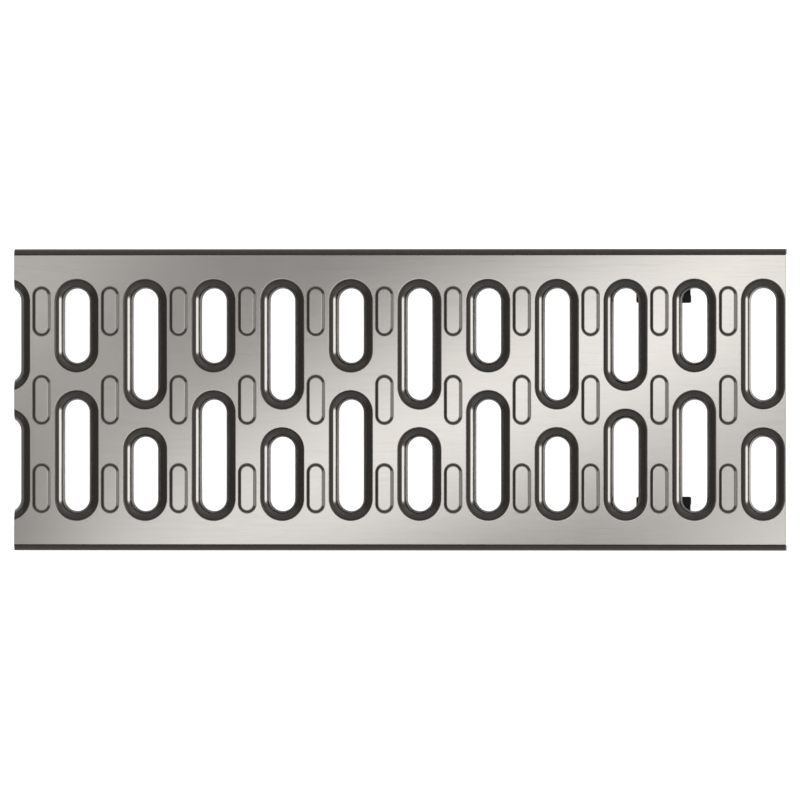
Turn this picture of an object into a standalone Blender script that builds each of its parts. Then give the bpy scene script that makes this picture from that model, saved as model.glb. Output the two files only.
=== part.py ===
"""Pressed stainless steel grate for a 100 mm wide drain channel, sawn to length.

The long edges of one sheet are folded down as skirts. Slots are pierced across it in staggered
pairs, and the metal round each slot is drawn down into a collar. Flat-topped ribs are pressed up
between the slots for grip. Two moulded clips under one web lock the grate into its channel.

X runs along the channel, Y across it and Z up. The skirts stand on z = 0, and the origin is the
middle of the grate's footprint.
"""
import math

import bmesh
import bpy

MM = 0.001

# Sheet
LENGTH = 312.4 * MM
WIDTH = 122.0 * MM
HEIGHT = 20.0 * MM              # walking face above the feet of the skirts
THICKNESS = 2.0 * MM
FOLD_INNER_RADIUS = 0.6 * MM    # inside the folds along both long edges

# Slots: columns along X, each with an upper and a lower slot
PATTERN_REPEAT = 250.0 * MM     # length over which the pattern of slots repeats
COLUMNS_IN_REPEAT = 9
SAW_OFFSET = 2.43 * MM          # left end, beyond the middle of the column it is sawn through
SLOT_WIDTH = 10.0 * MM
SLOT_MARGIN = 16.0 * MM         # long edge of the grate to the nearest slots
SLOT_BRIDGE = 15.0 * MM         # between the two slots of a column
SLOT_STAGGER = 7.5 * MM         # bridge of a staggered column, off the centre line
COLLAR_INNER_RADIUS = 2.0 * MM  # inside the bend from the sheet into a collar
COLLAR_DEPTH = 7.0 * MM         # walking face to the rim of a collar

# Grip ribs, midway between the columns
RIB_LENGTH = 20.0 * MM
RIB_MARGIN = 15.0 * MM          # long edge of the grate to the outer ribs
RIB_ROWS = (-1, 0, 1)
RIB_SIDE_GAP = 1.0 * MM         # flat left between a rib and a collar
RIB_FLANK = 1.2 * MM            # width of the sloping side of a rib
RIB_RISE = 0.75 * MM

# Lock clips
CLEARANCE = 0.3 * MM            # between a clip and the sheet
LOCK_COLUMN = 9                 # the clips sit under the web after this column
LOCK_SHIFT = 1.1 * MM           # off the middle of that web, towards the right end
CLIP_WIDTH = 21.9 * MM
CLIP_REACH = 19.5 * MM          # inwards from the skirt
CLIP_FOOT = 1.5 * MM            # underside above the feet of the skirts
CLIP_GROOVE_WALL = 7.5 * MM     # block between the skirt and the snap groove
CLIP_LEG = 2.6 * MM             # sprung leg on the inner side of the groove
CLIP_ROOF = 3.6 * MM            # block above the groove
CLIP_BEAD = 0.9 * MM            # snap bead on the leg
CLIP_EDGE = 0.4 * MM            # rounding of the moulded edges
CLIP_STEM_INSET = 2.0 * MM      # inner face of the block to the stem
NOSE_WIDTH = 4.4 * MM
NOSE_HEIGHT = 3.4 * MM
NOSE_SPACING = 11.0 * MM        # between the middles of a clip's two noses
NOSE_CENTRE = 7.2 * MM          # middle of a nose above the feet

# Fineness
ROUND_STEPS = 7                 # facets round the half circle at a slot's end
RIB_ROUND_STEPS = 5
COLLAR_STEPS = 3
FOLD_STEPS = 4

FOLD_OUTER_RADIUS = FOLD_INNER_RADIUS + THICKNESS
COLLAR_OUTER_RADIUS = COLLAR_INNER_RADIUS + THICKNESS
COLLAR_RING = SLOT_WIDTH + 2 * COLLAR_OUTER_RADIUS
COLUMN_PITCH = PATTERN_REPEAT / COLUMNS_IN_REPEAT
WEB = COLUMN_PITCH - COLLAR_RING
RIB_WIDTH = WEB - 2 * RIB_SIDE_GAP
RIB_ROW_PITCH = WIDTH / 2 - RIB_MARGIN - RIB_LENGTH / 2
SLOT_FIELD = WIDTH - 2 * SLOT_MARGIN
FIRST_COLUMN_X = -LENGTH / 2 - SAW_OFFSET
LAST_COLUMN = math.ceil((LENGTH / 2 + RIB_WIDTH / 2 - FIRST_COLUMN_X) / COLUMN_PITCH - 0.5)


def remove_everything():
    for obj in list(bpy.data.objects):
        bpy.data.objects.remove(obj, do_unlink=True)


def new_collection(name):
    collection = bpy.data.collections.new(name)
    bpy.context.scene.collection.children.link(collection)
    return collection


def principled(name, colour, metallic, roughness):
    material = bpy.data.materials.new(name)
    material.use_nodes = True
    shader = material.node_tree.nodes["Principled BSDF"]
    shader.inputs["Base Color"].default_value = (*colour, 1.0)
    shader.inputs["Metallic"].default_value = metallic
    shader.inputs["Roughness"].default_value = roughness
    return material


def new_object(name, mesh, collection):
    obj = bpy.data.objects.new(name, mesh)
    collection.objects.link(obj)
    return obj


def block(name, low, high, collection):
    """A box between two opposite corners, made from a cube."""
    bm = bmesh.new()
    bmesh.ops.create_cube(bm, size=1.0)
    size = [top - bottom for bottom, top in zip(low, high)]
    middle = [(top + bottom) / 2 for bottom, top in zip(low, high)]
    bmesh.ops.scale(bm, verts=bm.verts, vec=size)
    bmesh.ops.translate(bm, verts=bm.verts, vec=middle)
    mesh = bpy.data.meshes.new(name)
    bm.to_mesh(mesh)
    bm.free()
    return new_object(name, mesh, collection)


def tool(name, low, high, collection):
    """A box that cuts or joins another shape and is not part of the grate itself."""
    obj = block(name, low, high, collection)
    obj.hide_render = True
    obj.display_type = "WIRE"
    return obj


def boolean(obj, name, operation, other):
    modifier = obj.modifiers.new(name, "BOOLEAN")
    modifier.operation = operation
    modifier.solver = "EXACT"
    modifier.object = other


def column_x(column):
    return FIRST_COLUMN_X + column * COLUMN_PITCH


def bridge_middle(column):
    """Where the bridge between a column's two slots lies across the grate."""
    place = column % COLUMNS_IN_REPEAT
    if place == 0:
        return 0.0
    return SLOT_STAGGER if place % 2 else -SLOT_STAGGER


def slot_axes():
    """The line between the round ends' centres of each slot, as x, low y and high y."""
    radius = SLOT_WIDTH / 2
    for column in range(LAST_COLUMN + 1):
        middle = bridge_middle(column)
        x = column_x(column)
        yield x, -SLOT_FIELD / 2 + radius, middle - SLOT_BRIDGE / 2 - radius
        yield x, middle + SLOT_BRIDGE / 2 + radius, SLOT_FIELD / 2 - radius


def rib_axes():
    """The line between the round ends' centres of each rib."""
    half = (RIB_LENGTH - RIB_WIDTH) / 2
    for column in range(LAST_COLUMN):
        x = column_x(column) + COLUMN_PITCH / 2
        for row in RIB_ROWS:
            yield x, row * RIB_ROW_PITCH - half, row * RIB_ROW_PITCH + half


def round_ring(bm, axis, reach, steps):
    """A ring of edges on the walking face, at one distance all round an axis."""
    x, low, high = axis
    verts = []
    for end_y, start in ((high, 0.0), (low, math.pi)):
        for step in range(steps + 1):
            angle = start + math.pi * step / steps
            place = (x + reach * math.cos(angle), end_y + reach * math.sin(angle), HEIGHT)
            verts.append(bm.verts.new(place))
    return [bm.edges.new(pair) for pair in zip(verts, verts[1:] + verts[:1])]


def extrude(bm, edges):
    """Extrudes a line of edges and returns the new line's edges and points."""
    made = bmesh.ops.extrude_edge_only(bm, edges=edges)["geom"]
    verts = {item for item in made if isinstance(item, bmesh.types.BMVert)}
    line = [item for item in made if isinstance(item, bmesh.types.BMEdge) and set(item.verts) <= verts]
    return line, verts


def press_ring(bm, edges, axis, profile):
    """Draws the sheet from a ring through steps of distance from the axis and height."""
    x, low, high = axis
    for reach, height in profile:
        edges, verts = extrude(bm, edges)
        for vert in verts:
            centre_y = min(max(vert.co.y, low), high)
            across, along = vert.co.x - x, vert.co.y - centre_y
            scale = reach / math.hypot(across, along)
            vert.co = (x + across * scale, centre_y + along * scale, height)
    return edges


def bend(radius, steps):
    """Points of a quarter turn from level to upright, as distance along and drop."""
    for step in range(1, steps + 1):
        angle = math.pi / 2 * step / steps
        yield radius * math.sin(angle), radius * (1 - math.cos(angle))


def collar_profile():
    outer = COLLAR_RING / 2
    for along, drop in bend(COLLAR_OUTER_RADIUS, COLLAR_STEPS):
        yield outer - along, HEIGHT - drop
    yield SLOT_WIDTH / 2, HEIGHT - COLLAR_DEPTH


def skirt_profile():
    for along, drop in bend(FOLD_OUTER_RADIUS, FOLD_STEPS):
        yield WIDTH / 2 - FOLD_OUTER_RADIUS + along, HEIGHT - drop
    yield WIDTH / 2, 0.0


def fold_edge(bm, edge, side):
    """Folds the sheet down along one long edge."""
    edges = [edge]
    for across, height in skirt_profile():
        edges, verts = extrude(bm, edges)
        for vert in verts:
            vert.co = (vert.co.x, side * across, height)


def walking_face(bm):
    """The outer face of the blank: level sheet, skirts, collars and ribs as one open surface."""
    left = column_x(0) - COLUMN_PITCH / 2
    right = column_x(LAST_COLUMN) + COLUMN_PITCH / 2
    level = WIDTH / 2 - FOLD_OUTER_RADIUS
    corners = [bm.verts.new((x, y, HEIGHT)) for x, y in
               ((left, -level), (right, -level), (right, level), (left, level))]
    border = [bm.edges.new(pair) for pair in zip(corners, corners[1:] + corners[:1])]
    slots = [(axis, round_ring(bm, axis, COLLAR_RING / 2, ROUND_STEPS)) for axis in slot_axes()]
    ribs = [(axis, round_ring(bm, axis, RIB_WIDTH / 2, RIB_ROUND_STEPS)) for axis in rib_axes()]
    bmesh.ops.triangle_fill(bm, edges=bm.edges[:], normal=(0, 0, 1), use_beauty=True)
    fold_edge(bm, border[0], -1)
    fold_edge(bm, border[2], 1)
    for axis, ring in slots:
        press_ring(bm, ring, axis, collar_profile())
    for axis, ring in ribs:
        crown = press_ring(bm, ring, axis, [(RIB_WIDTH / 2 - RIB_FLANK, HEIGHT + RIB_RISE)])
        bmesh.ops.edgeloop_fill(bm, edges=crown)


def build_sheet(parts, tools, material):
    bm = bmesh.new()
    walking_face(bm)
    bmesh.ops.recalc_face_normals(bm, faces=bm.faces)
    level = max(bm.faces, key=lambda face: face.calc_area() * abs(face.normal.z))
    if level.normal.z < 0:
        bmesh.ops.reverse_faces(bm, faces=bm.faces)
    mesh = bpy.data.meshes.new("grate_sheet")
    bm.to_mesh(mesh)
    bm.free()
    mesh.materials.append(material)
    sheet = new_object("grate_sheet", mesh, parts)

    shell = sheet.modifiers.new("sheet thickness", "SOLIDIFY")
    shell.thickness = THICKNESS
    shell.offset = -1.0
    shell.use_even_offset = True
    shell.use_quality_normals = True

    for name, side in (("saw_cut_left", -1), ("saw_cut_right", 1)):
        inner = side * LENGTH / 2
        outer = side * (LENGTH / 2 + 2 * COLUMN_PITCH)
        low = (min(inner, outer), -WIDTH, -HEIGHT)
        high = (max(inner, outer), WIDTH, 2 * HEIGHT)
        boolean(sheet, name, "DIFFERENCE", tool(name, low, high, tools))
    for side in (-1, 1):
        for place in (-1, 1):
            name = f"clip_window_{'front' if side < 0 else 'rear'}_{'left' if place < 0 else 'right'}"
            boolean(sheet, name, "DIFFERENCE", clip_window(name, side, place, tools))
    return sheet


def lock_x():
    return column_x(LOCK_COLUMN) + COLUMN_PITCH / 2 + LOCK_SHIFT


def clip_window(name, side, place, tools):
    """A hole through a skirt that one nose of a clip snaps into."""
    middle = lock_x() + place * NOSE_SPACING / 2
    half_width = NOSE_WIDTH / 2 + CLEARANCE
    half_height = NOSE_HEIGHT / 2 + CLEARANCE
    inner = WIDTH / 2 - THICKNESS - CLIP_EDGE
    outer = WIDTH / 2 + CLIP_EDGE
    near, far = sorted((side * inner, side * outer))
    low = (middle - half_width, near, NOSE_CENTRE - half_height)
    high = (middle + half_width, far, NOSE_CENTRE + half_height)
    return tool(name, low, high, tools)


def clip_outline():
    """Section of a clip's block: distance in from the skirt, and height."""
    top = HEIGHT - COLLAR_DEPTH - CLEARANCE
    roof = top - CLIP_ROOF
    leg = CLIP_REACH - CLIP_LEG
    return [
        (0.0, CLIP_FOOT),
        (CLIP_GROOVE_WALL, CLIP_FOOT),
        (CLIP_GROOVE_WALL, roof),
        (leg, roof),
        (leg, CLIP_FOOT + 3 * CLIP_BEAD),
        (leg - CLIP_BEAD, CLIP_FOOT + 2 * CLIP_BEAD),
        (leg, CLIP_FOOT),
        (CLIP_REACH, CLIP_FOOT),
        (CLIP_REACH, top),
        (0.0, top),
    ]


def clip_block_mesh(collection):
    """The clip's section drawn as a flat outline and given the clip's width."""
    curve = bpy.data.curves.new("clip section", "CURVE")
    curve.dimensions = "2D"
    curve.fill_mode = "BOTH"
    curve.extrude = CLIP_WIDTH / 2
    outline = clip_outline()
    spline = curve.splines.new("POLY")
    spline.points.add(len(outline) - 1)
    for point, (inwards, height) in zip(spline.points, outline):
        point.co = (inwards, height, 0.0, 1.0)
    spline.use_cyclic_u = True
    drawing = new_object("clip section", curve, collection)
    bpy.context.view_layer.update()
    evaluated = drawing.evaluated_get(bpy.context.evaluated_depsgraph_get())
    mesh = bpy.data.meshes.new_from_object(evaluated)
    bpy.data.objects.remove(drawing, do_unlink=True)
    bm = bmesh.new()
    bm.from_mesh(mesh)
    bmesh.ops.remove_doubles(bm, verts=bm.verts, dist=0.00001)
    bmesh.ops.recalc_face_normals(bm, faces=bm.faces)
    bm.to_mesh(mesh)
    bm.free()
    mesh.name = "lock_clip"
    return mesh


def round_edges(obj):
    edges = obj.modifiers.new("moulded edges", "BEVEL")
    edges.width = CLIP_EDGE
    edges.segments = 1
    edges.limit_method = "ANGLE"


def build_clip(name, side, mesh, parts, tools):
    """A block against the skirt, a stem up between two collars, and two noses in the skirt."""
    clip = new_object(name, mesh, parts)
    round_edges(clip)
    top = HEIGHT - COLLAR_DEPTH - CLEARANCE
    half_stem = WEB / 2 - LOCK_SHIFT - CLEARANCE
    stem = tool(
        f"{name}_stem",
        (FOLD_INNER_RADIUS, top - CLIP_ROOF / 2, -half_stem),
        (CLIP_REACH - CLIP_STEM_INSET, HEIGHT - THICKNESS - CLEARANCE, half_stem),
        tools,
    )
    stem.parent = clip
    round_edges(stem)
    boolean(clip, "stem", "UNION", stem)
    for place in (-1, 1):
        middle = place * NOSE_SPACING / 2
        nose = tool(
            f"{name}_nose_{'left' if place < 0 else 'right'}",
            (-THICKNESS, NOSE_CENTRE - NOSE_HEIGHT / 2, middle - NOSE_WIDTH / 2),
            (CLIP_GROOVE_WALL / 2, NOSE_CENTRE + NOSE_HEIGHT / 2, middle + NOSE_WIDTH / 2),
            tools,
        )
        nose.parent = clip
        round_edges(nose)
        boolean(clip, "nose", "UNION", nose)
    clip.location = (lock_x(), side * (WIDTH / 2 - THICKNESS - CLEARANCE), 0.0)
    clip.rotation_euler = (math.pi / 2, 0.0, -side * math.pi / 2)
    return clip


def main():
    remove_everything()
    parts = new_collection("channel_drain_grate")
    tools = new_collection("cutters")
    steel = principled("satin_stainless_steel", (0.60, 0.575, 0.55), 1.0, 0.35)
    plastic = principled("black_moulded_plastic", (0.012, 0.011, 0.010), 0.0, 0.5)

    grate = new_object("channel_drain_grate", None, parts)
    sheet = build_sheet(parts, tools, steel)
    sheet.parent = grate
    clip_mesh = clip_block_mesh(parts)
    clip_mesh.materials.append(plastic)
    for name, side in (("lock_clip_front", -1), ("lock_clip_rear", 1)):
        clip = build_clip(name, side, clip_mesh, parts, tools)
        clip.parent = grate


main()
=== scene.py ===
"""Looks of a pressed stainless steel grate for a drain channel.

The sheet is drawn again in Geometry Nodes by the same rules as the solid, with smooth bends,
rounded rims and soft rib flanks. Its finish is satin stainless steel, and its clips are black
moulded plastic. X runs along the channel, Y across it, Z up, all in metres.
"""

import math

import bmesh
import bpy
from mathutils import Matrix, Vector


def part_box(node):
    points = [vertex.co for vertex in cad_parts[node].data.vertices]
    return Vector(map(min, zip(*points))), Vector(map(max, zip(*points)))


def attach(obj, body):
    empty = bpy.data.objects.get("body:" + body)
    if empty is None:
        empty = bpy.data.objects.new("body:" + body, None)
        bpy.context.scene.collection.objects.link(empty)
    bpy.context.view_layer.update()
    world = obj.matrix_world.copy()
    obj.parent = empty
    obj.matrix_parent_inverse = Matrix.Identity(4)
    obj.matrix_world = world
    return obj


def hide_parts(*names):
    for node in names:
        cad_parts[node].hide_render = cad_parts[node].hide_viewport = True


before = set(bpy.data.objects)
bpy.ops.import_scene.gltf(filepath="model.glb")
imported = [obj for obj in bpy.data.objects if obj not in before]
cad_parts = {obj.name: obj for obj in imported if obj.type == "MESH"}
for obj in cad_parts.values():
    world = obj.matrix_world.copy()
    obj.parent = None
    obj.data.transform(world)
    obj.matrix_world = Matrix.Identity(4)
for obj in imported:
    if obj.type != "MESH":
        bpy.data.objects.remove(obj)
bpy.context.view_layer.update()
sheet_low, sheet_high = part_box("grate_sheet")
clip_low, clip_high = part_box("lock_clip_front")

MM = 0.001

# Sheet, from the solid's own box where it can be read there
LEFT_END = sheet_low.x
RIGHT_END = sheet_high.x
WIDTH = sheet_high.y - sheet_low.y
RIB_RISE = 0.75 * MM
HEIGHT = sheet_high.z - RIB_RISE
THICKNESS = 2.0 * MM
FOLD_RADIUS = 2.6 * MM
EDGE_ROUNDING = 0.25 * MM

# Pattern of the slots
COLUMNS_IN_REPEAT = 9
COLUMN_PITCH = 250.0 * MM / COLUMNS_IN_REPEAT
SAW_OFFSET = 2.43 * MM
COLUMNS = 12
SLOT_WIDTH = 10.0 * MM
SLOT_MARGIN = 16.0 * MM
SLOT_BRIDGE = 15.0 * MM
SLOT_STAGGER = 7.5 * MM
COLLAR_RADIUS = 4.0 * MM
COLLAR_DEPTH = 7.0 * MM

# Ribs
RIB_ROWS = 3
RIB_LENGTH = 20.24 * MM
RIB_WIDTH = 7.40 * MM
RIB_ROW_PITCH = 35.77 * MM
RIB_SHIFT = -0.25 * MM          # from midway between two columns
RIB_FLANK = 1.25 * MM
RIB_FILLET = 0.28               # share of the flank that each of its two fillets takes

# Snap windows in the skirts, two for each clip
WINDOW_X = (clip_low.x + clip_high.x) / 2
WINDOW_SPACING = 11.0 * MM
WINDOW_WIDTH = 5.0 * MM
WINDOW_HEIGHT = 4.0 * MM
WINDOW_CENTRE = 7.2 * MM
WINDOW_CORNER = 0.5 * MM

CLIP_EASING = 0.18 * MM         # rounding of the clips' moulded edges

# Fineness of the visible mesh
SLOT_ARC_STEPS = 24
RIB_ARC_STEPS = 16
BEND_POINTS = 13
COLLAR_INSIDE_POINTS = 7
FOLD_INSIDE_POINTS = 5
ROUNDING_POINTS = 4             # on each rounded edge of a rim or foot
FLANK_STEPS = 9
WINDOW_CORNER_STEPS = 4
CLIP_EASING_STEPS = 3
SUPPORT_BAND = 0.15 * MM        # level strip that keeps the flat metal flat in its shading
WELD = 0.02 * MM
SAME_POINT = 0.001 * MM
ON_SAW_CUT = 0.01 * MM
COUNT_SLACK = 0.1               # for comparing whole numbers
SHARP_ANGLE = math.radians(40)
CLIP_SHARP_ANGLE = math.radians(30)
CLIP_FLAT_ANGLE = math.radians(1)

FIRST_COLUMN = LEFT_END - SAW_OFFSET
SLOT_FIELD = WIDTH - 2 * SLOT_MARGIN

# Colours of the steel, and of the painted shade and highlights in its bends and walls; a pair is what
# clouds or grain run between
LEVEL_STEEL = (0.725, 0.688, 0.648), (0.765, 0.732, 0.697)
STREAK_STEEL = (0.64, 0.61, 0.58)
# Painted shade on the drawn bends, darker than the steel itself
BEND_PAINTED_SHADE_STEEL = (0.125, 0.117, 0.108), (0.155, 0.147, 0.137)
# Painted sheen on the bends that face the right end
PAINTED_SHEEN_STEEL = (0.29, 0.275, 0.26)
# Painted shade on the slots' walls
WALL_PAINTED_SHADE_STEEL = (0.36, 0.345, 0.33)
# Painted highlight strip on the slots' straight walls that face the right end
PAINTED_HIGHLIGHT_STEEL = (0.86, 0.84, 0.81)
# Painted shade on the walls of the sawn column at the left end
CUT_COLUMN_PAINTED_SHADE_STEEL = (0.10, 0.094, 0.087)
# Painted shade on the folds' sides
FOLD_SIDE_PAINTED_SHADE_STEEL = (0.08, 0.076, 0.071)
BACK_STEEL = (0.60, 0.575, 0.545)
SAWN_STEEL = (0.50, 0.48, 0.46), (0.80, 0.78, 0.75)
RUBBED_STEEL = (0.82, 0.80, 0.77)
STREAK_GRAIN = (0.45, 0.75)     # the rolled grain that makes a streak
STREAK_SHARE = 0.25
RUBBED_SHARE = 0.35
RIB_PAINTED_HIGHLIGHT = 0.12              # share of the painted highlight that the ribs' flanks get

# Roughness of the steel
LEVEL_ROUGHNESS = 0.13
CLOUD_ROUGHNESS = 0.012         # more or less with the clouds
BRUSHED_ROUGHNESS = 0.05        # more or less with the brushed grain
DRAWN_ROUGHNESS = 0.16
DEEP_ROUGHNESS = 0.45
BACK_ROUGHNESS = 0.34
SAWN_ROUGHNESS = 0.38

# Where a finish, a painted shade or a painted highlight starts and where it is full, by how far the
# surface faces up ...
SHEET_BEND = (0.99995, 0.998)
CROWN_BEND = (0.975, 0.87)
STEEP_WALL = (0.66, 0.38)
BACK_FACE = (-0.80, -0.95)
# ... towards the right end, or across the channel ...
# where the painted sheen lies, by how far a bend faces the right end
PAINTED_SHEEN_FACING = (0.0, 0.8)
# where the painted highlight strip lies, by how far a wall faces the right end
PAINTED_HIGHLIGHT_FACING = (0.44, 0.52)
# where the sawn column's painted shade lies, by how far a wall faces the left end
CUT_COLUMN_FACING = (-0.62, -0.80)
STRAIGHT_BEND = (0.16, 0.05)
STRAIGHT_WALL = (0.80, 0.05)
# ... and by place
RAISED_HEIGHT = (HEIGHT - 0.005 * MM, HEIGHT + 0.010 * MM)
LOWERED_HEIGHT = (HEIGHT - 0.20 * MM, HEIGHT - 0.35 * MM)
DEEP_HEIGHT = (HEIGHT - 2.5 * MM, HEIGHT - 4.2 * MM)
SKIRT_HEIGHT = (HEIGHT - 2.2 * MM, HEIGHT - 3.0 * MM)
SKIRT_OFF_MIDDLE = (WIDTH / 2 - 2.5 * MM, WIDTH / 2 - 2.0 * MM)
SLOTS_OFF_MIDDLE = (WIDTH / 2 - 3.0 * MM, WIDTH / 2 - 4.0 * MM)
FOLD_SIDE_OFF_MIDDLE = (WIDTH / 2 - 1.1 * MM, WIDTH / 2 - 0.6 * MM)
SAWN_OFF_MIDDLE = (RIGHT_END - 0.15 * MM, RIGHT_END - 0.05 * MM)
CUT_COLUMN_ALONG = (LEFT_END + 7.0 * MM, LEFT_END + 5.5 * MM)
RUBBED_TURN = (0.02, 0.20)      # of the rounded normal from the true one, as 1 - cosine
RUBBED_PATCHES = (0.35, 0.60)   # of the noise that breaks the wear up

# Finish of the clips
PLASTIC_BLACK = (0.0065, 0.0062, 0.006), (0.011, 0.0105, 0.010)
PLASTIC_RUBBED = (0.05, 0.048, 0.046)
PLASTIC_RUBBED_SHARE = 0.5
PLASTIC_ROUGHNESS = (0.40, 0.52)
SKIN_ROUGHNESS = 0.15           # more or less with the moulded skin
PLASTIC_SPECULAR = 0.25

# The photograph's frame
FRAME_WIDTH = 323.2 * MM
FRAME_MIDDLE = (0.2 * MM, -0.08 * MM)
CAMERA_DISTANCE = 6.0
CAMERA_LEAN = math.radians(3.1)  # off the vertical, towards the right end
SENSOR = 36.0

# Floor
WHITE = (1.0, 1.0, 1.0)
FLOOR_RADIUS = 5.0
FLOOR_GAP = 0.2 * MM
FLOOR_GREY = 0.85
FLOOR_ROUGHNESS = 0.9
FLOOR_GLOW = 0.95
METAL_GLOW = 0.05               # brings the lit floor up to white in the metal, and keeps its shade

# World, its heights in degrees above the horizon
PALE_HORIZON = (3, 6)
SIDE_WALL_TOP = (74, 60)
SIDE_WALL_ENDS = (0.95, 0.75)   # cosine of the bearing from the channel's length
PATCH_TOP = (42, 34)
PATCH_ENDS = (0.940, 0.985)     # cosine of the bearing from the right end
DIM_RUN = (-0.2, 0.6)           # from the left end's side to the right end's
DIM_STUDIO = (0.20, 0.19, 0.18), (0.28, 0.27, 0.255)
SIDE_WALL = (0.36, 0.351, 0.342)
BRIGHT_PATCH = (1.0, 0.99, 0.97)
LEAST_LEVEL = 0.01              # keeps a bearing finite straight up

# Panel above the grate; its strips are given by centre, half width and strength
PANEL_HEIGHT = 1.2
PANEL_SIZE = (0.50, 0.26)
PANEL_GLOW = 0.20
BAND_TURN = math.radians(28)    # the bright band's turn from the channel's length
BAND_CENTRE = 39.6 * MM
BAND = (0.0, 42 * MM, 1.3)
LOWER_RIGHT = (122 * MM, 27 * MM, 1.5)
UPPER_LEFT = (-145 * MM, 22 * MM, 0.6)
BAND_START = (-170 * MM, -95 * MM)
LEFT_STRIP = (-150 * MM, 42 * MM, 0.32)
LEFT_STRIP_FOOT = (-65 * MM, 25 * MM)
LEFT_STRIP_TOP = (68 * MM, 44 * MM)
RIGHT_STRIP = (140 * MM, 48 * MM, 0.20)
RIGHT_STRIP_TOP = (54 * MM, 28 * MM)
LOWER_SHADE = -0.18
LOWER_SHADE_VALLEY = (90 * MM, 44 * MM, -0.36)
LOWER_SHADE_FALL = (-30 * MM, -56 * MM)
LOWER_SHADE_START = (-140 * MM, -90 * MM)
UPPER_SHADE = (25 * MM, 70 * MM, -0.12)
UPPER_SHADE_FALL = (38 * MM, 50 * MM)

# Fill lamp
FILL_HEIGHT = 1.4
FILL_SIZE = 3.0
FILL_BRIGHTNESS = 1.15          # beside the background's white


# Node helpers


def add_node(tree, kind, feeds=None, **settings):
    """Adds a node. Each feed is a plain value or the output socket that drives it."""
    made = tree.nodes.new(kind)
    for name, value in settings.items():
        setattr(made, name, value)
    for name, value in (feeds or {}).items():
        socket = made.inputs[name]
        if isinstance(value, bpy.types.NodeSocket):
            tree.links.new(value, socket)
        else:
            socket.default_value = value
    return made


def calc(tree, operation, *values):
    return add_node(tree, "ShaderNodeMath", dict(enumerate(values)), operation=operation).outputs[0]


def ramp(tree, value, start, end):
    """0 at start and 1 at end, smooth between them."""
    feeds = {"Value": value, "From Min": start, "From Max": end}
    return add_node(tree, "ShaderNodeMapRange", feeds, interpolation_type="SMOOTHSTEP").outputs[0]


def blend(tree, share, first, second):
    """The first colour where share is 0, and the second where it is 1."""
    first, second = (
        (*colour, 1.0) if isinstance(colour, tuple) else colour for colour in (first, second))
    feeds = {0: share, 6: first, 7: second}
    return add_node(tree, "ShaderNodeMix", feeds, data_type="RGBA").outputs[2]


def vector(tree, x=0.0, y=0.0, z=0.0):
    return add_node(tree, "ShaderNodeCombineXYZ", {"X": x, "Y": y, "Z": z}).outputs[0]


def join(tree, *geometries):
    made = tree.nodes.new("GeometryNodeJoinGeometry")
    for geometry in reversed(geometries):
        tree.links.new(geometry, made.inputs[0])
    return made.outputs[0]


def moved(tree, geometry, offset):
    feeds = {"Geometry": geometry, "Translation": offset}
    return add_node(tree, "GeometryNodeTransform", feeds).outputs[0]


def welded(tree, geometry):
    feeds = {"Geometry": geometry, "Distance": WELD}
    return add_node(tree, "GeometryNodeMergeByDistance", feeds).outputs[0]


# Sections, in distance outwards from a path and drop below the walking face


def section_line(tree, start, end):
    feeds = {"Start": vector(tree, *start), "End": vector(tree, *end)}
    return add_node(tree, "GeometryNodeCurvePrimitiveLine", feeds).outputs[0]


def section_arc(tree, centre, radius, start, sweep, points):
    feeds = {
        "Resolution": points,
        "Radius": radius,
        "Start Angle": math.radians(start),
        "Sweep Angle": math.radians(sweep),
    }
    arc = add_node(tree, "GeometryNodeCurveArc", feeds, mode="RADIUS").outputs[0]
    return moved(tree, arc, vector(tree, *centre))


def sweep(tree, path, section):
    """Draws a section along a path, outwards to the path's right and downwards."""
    upright = add_node(tree, "GeometryNodeSetCurveNormal", {"Curve": path}, mode="Z_UP").outputs[0]
    feeds = {"Curve": upright, "Profile Curve": section}
    return welded(tree, add_node(tree, "GeometryNodeCurveToMesh", feeds).outputs[0])


def collar_section(tree, size):
    """Bend, wall and rounded rim of a drawn collar, back up to the sheet's underside."""
    bend, depth = size["Collar Radius"], size["Collar Depth"]
    sheet, edge = size["Thickness"], size["Edge"]
    inner = calc(tree, "SUBTRACT", bend, sheet)
    past_bend = calc(tree, "ADD", bend, SUPPORT_BAND)
    wall_end = calc(tree, "SUBTRACT", depth, edge)
    rim_end = calc(tree, "SUBTRACT", sheet, edge)
    return join(
        tree,
        section_line(tree, (past_bend, 0.0), (bend, 0.0)),
        section_arc(tree, (bend, bend), bend, -90, -90, BEND_POINTS),
        section_line(tree, (0.0, bend), (0.0, past_bend)),
        section_line(tree, (0.0, past_bend), (0.0, wall_end)),
        section_arc(tree, (edge, wall_end), edge, 180, -90, ROUNDING_POINTS),
        section_line(tree, (edge, depth), (rim_end, depth)),
        section_arc(tree, (rim_end, wall_end), edge, 90, -90, ROUNDING_POINTS),
        section_line(tree, (sheet, wall_end), (sheet, bend)),
        section_arc(tree, (bend, bend), inner, 180, 90, COLLAR_INSIDE_POINTS),
        section_line(tree, (bend, sheet), (past_bend, sheet)),
    )


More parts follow.
